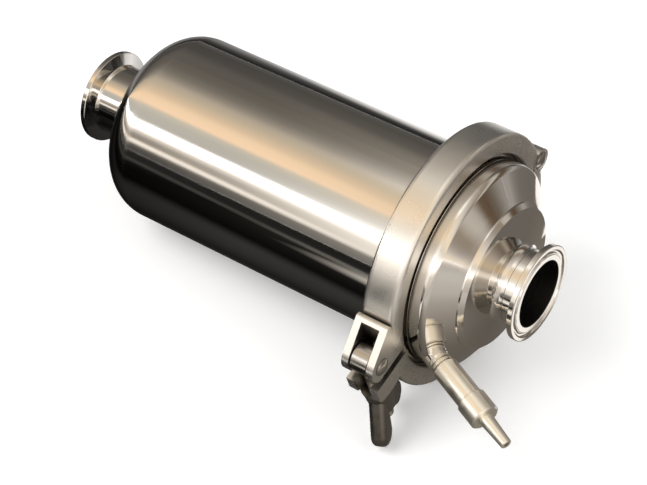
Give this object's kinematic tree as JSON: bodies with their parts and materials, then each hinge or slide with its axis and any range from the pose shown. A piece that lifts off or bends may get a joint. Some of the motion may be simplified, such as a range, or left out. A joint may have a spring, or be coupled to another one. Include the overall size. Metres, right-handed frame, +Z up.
{
  "type": "filter housing",
  "caption": "Inline sanitary filter housing lying on its side: dished shell, stepped lid held by a hinged clamp with swing bolt and wing nut, end ferrules and an angled vent valve.",
  "frame": {"origin": "centre of the bounding box on the floor that the housing lies on", "axes": "+X horizontally along the housing towards the lid, +Z up"},
  "size_m": [0.2996, 0.1556, 0.1349],
  "materials": {
    "polished_steel": "mirror polished stainless steel",
    "satin_steel": "satin cast stainless steel",
    "fastener_steel": "bright stainless steel",
    "valve_steel": "fine turned stainless steel",
    "seal_rubber": "matt black elastomer",
    "cartridge_plastic": "moulded white plastic",
    "media_sheet": "pleated white sheet"
  },
  "bodies": {
    "root": {"shell_tube": "polished_steel", "tail_head": "polished_steel", "tail_ferrule": "polished_steel", "body_flange": "polished_steel", "flange_gasket": "seal_rubber", "lid_flange": "polished_steel", "lid_cone": "polished_steel", "lid_step": "polished_steel", "lid_ferrule": "polished_steel", "clamp_lower": "satin_steel", "hinge_rivet": "fastener_steel", "vent_boss": "polished_steel", "valve_body": "valve_steel", "stem_o_ring": "seal_rubber", "open_end_cap": "cartridge_plastic", "spigot_o_rings": "seal_rubber", "closed_end_cap": "cartridge_plastic", "cartridge_cage": "cartridge_plastic", "cartridge_core": "cartridge_plastic", "filter_media": "media_sheet"},
    "upper_half": {"clamp_upper": "satin_steel", "bolt_rivet": "fastener_steel"},
    "bolt": {"swing_bolt": "fastener_steel"},
    "washer": {"nut_washer": "fastener_steel"},
    "nut": {"wing_nut": "fastener_steel"},
    "nozzle": {"valve_nozzle": "valve_steel", "nozzle_o_ring": "seal_rubber"},
    "sleeve": {"valve_sleeve": "valve_steel", "valve_end_cap": "valve_steel"}
  },
  "joints": [
    {"name": "clamp_opening", "type": "hinge", "parent": "root", "child": "upper_half", "pos_m": [0.0722, 0.07135, 0.08136], "axis": [-0.9951, 0, -0.0986], "range_deg": [0, 3.26]},
    {"name": "bolt_swing", "type": "hinge", "parent": "upper_half", "child": "bolt", "pos_m": [0.07395, -0.06965, 0.06374], "axis": [-0.9951, 0, -0.0986], "range_deg": [0, 110]},
    {"name": "nut_travel", "type": "slide", "parent": "bolt", "child": "washer", "axis": [0.0964, 0.2079, -0.9734], "range_m": [0, 0.008]},
    {"name": "nut_turn", "type": "hinge", "parent": "washer", "child": "nut", "pos_m": [0.07645, -0.06425, 0.03845], "axis": [0.0964, 0.2079, -0.9734], "range_deg": [0, 2304.5]},
    {"name": "valve_lift", "type": "slide", "parent": "root", "child": "nozzle", "axis": [0.9305, -0.3623, -0.0549], "range_m": [0, 0.003]},
    {"name": "valve_turn", "type": "hinge", "parent": "nozzle", "child": "sleeve", "pos_m": [0.09481, -0.04076, 0.05071], "axis": [0.9305, -0.3623, -0.0549], "range_deg": [0, 1080.5]}
  ],
  "couplings": [
    {"joint": "nut_turn", "follows": "nut_travel", "rad_per_m": 5026.5},
    {"joint": "clamp_opening", "follows": "nut_travel", "rad_per_m": 7.0621},
    {"joint": "valve_turn", "follows": "valve_lift", "rad_per_m": 6283.2}
  ]
}
